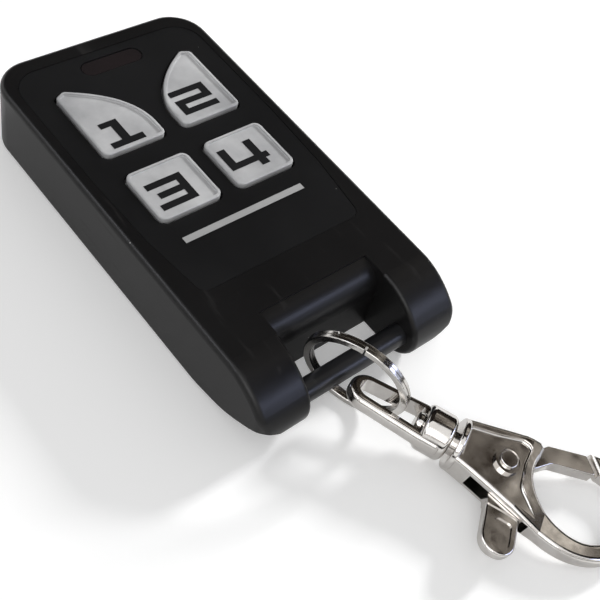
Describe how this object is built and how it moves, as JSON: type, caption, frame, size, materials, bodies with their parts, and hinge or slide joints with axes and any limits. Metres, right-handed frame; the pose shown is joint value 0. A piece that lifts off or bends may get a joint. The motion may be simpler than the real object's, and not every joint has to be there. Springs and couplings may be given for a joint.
{
  "type": "garage door remote",
  "caption": "Pocket radio transmitter with press keys on its face, carried on a split ring and a swivel snap hook.",
  "frame": {"origin": "centre of the case's flat back, on the surface that the case lies on", "axes": "+Z out of the keypad, +Y to the head end of the case, -Y to the ring and hook, +X to the right seen from the keypad side"},
  "size_m": [0.0382, 0.1017, 0.015],
  "materials": {
    "case_black": "satin",
    "cover_black": "matte",
    "overlay_black": "satin",
    "window_dark": "gloss",
    "key_grey": "satin",
    "mat_rubber": "matte",
    "board_green": "satin",
    "led_clear": "gloss",
    "chip_black": "matte",
    "can_steel": "satin",
    "loop_copper": "satin",
    "chip_tan": "matte",
    "cell_steel": "satin",
    "spring_steel": "satin",
    "switch_black": "matte",
    "plunger_white": "matte",
    "screw_steel": "satin",
    "bar_black": "satin",
    "ring_chrome": "polished",
    "eye_chrome": "polished",
    "hook_chrome": "polished",
    "lever_chrome": "polished",
    "rivet_chrome": "polished",
    "spring_wire": "satin"
  },
  "bodies": {
    "case": {"front_shell": "case_black", "rear_cover": "cover_black", "overlay_sheet": "overlay_black", "indicator_window": "window_dark", "key_mat": "mat_rubber", "circuit_board": "board_green", "status_led": "led_clear", "controller_chip": "chip_black", "resonator_can": "can_steel", "antenna_loop": "loop_copper", "chip_parts": "chip_tan", "coin_cell": "cell_steel", "contact_plus": "spring_steel", "contact_minus": "spring_steel", "key_bar": "bar_black", "case_screw_1": "screw_steel", "case_screw_2": "screw_steel", "case_screw_3": "screw_steel", "switch_body_1": "switch_black", "switch_body_2": "switch_black", "switch_body_3": "switch_black", "switch_body_4": "switch_black"},
    "key_1_unit": {"key_1": "key_grey", "switch_plunger_1": "plunger_white"},
    "key_2_unit": {"key_2": "key_grey", "switch_plunger_2": "plunger_white"},
    "key_3_unit": {"key_3": "key_grey", "switch_plunger_3": "plunger_white"},
    "key_4_unit": {"key_4": "key_grey", "switch_plunger_4": "plunger_white"},
    "ring": {"split_ring": "ring_chrome"},
    "eye": {"swivel_eye": "eye_chrome"},
    "hook": {"hook_body": "hook_chrome", "trigger_rivet": "rivet_chrome", "trigger_spring": "spring_wire"},
    "lever": {"trigger_lever": "lever_chrome"}
  },
  "joints": [
    {"name": "key_1_press", "type": "slide", "parent": "case", "child": "key_1_unit", "axis": [0, 0, -1], "range_m": [0, 0.00035], "stiffness_N_per_m": 1600, "springref_m": -0.0003},
    {"name": "key_2_press", "type": "slide", "parent": "case", "child": "key_2_unit", "axis": [0, 0, -1], "range_m": [0, 0.00035], "stiffness_N_per_m": 1600, "springref_m": -0.0003},
    {"name": "key_3_press", "type": "slide", "parent": "case", "child": "key_3_unit", "axis": [0, 0, -1], "range_m": [0, 0.00035], "stiffness_N_per_m": 1600, "springref_m": -0.0003},
    {"name": "key_4_press", "type": "slide", "parent": "case", "child": "key_4_unit", "axis": [0, 0, -1], "range_m": [0, 0.00035], "stiffness_N_per_m": 1600, "springref_m": -0.0003},
    {"name": "ring_swing", "type": "hinge", "parent": "case", "child": "ring", "pos_m": [0, -0.02965, 0.0042], "axis": [1, 0, 0], "range_deg": [-15, 95]},
    {"name": "eye_tilt", "type": "hinge", "parent": "ring", "child": "eye", "pos_m": [0.00026, -0.03883, 0.00523], "axis": [0.8878, 0.4602, 0], "range_deg": [-12, 30]},
    {"name": "hook_swivel", "type": "hinge", "parent": "eye", "child": "hook", "pos_m": [0.00236, -0.0432, 0.00468], "axis": [0.4572, -0.8821, -0.1132], "continuous": true},
    {"name": "lever_trigger", "type": "hinge", "parent": "hook", "child": "lever", "pos_m": [0.00738, -0.05179, 0.00355], "axis": [-0.0521, 0.1005, -0.9936], "range_deg": [0, 30], "stiffness_Nm_per_rad": 0.03, "springref_deg": -20.05}
  ]
}
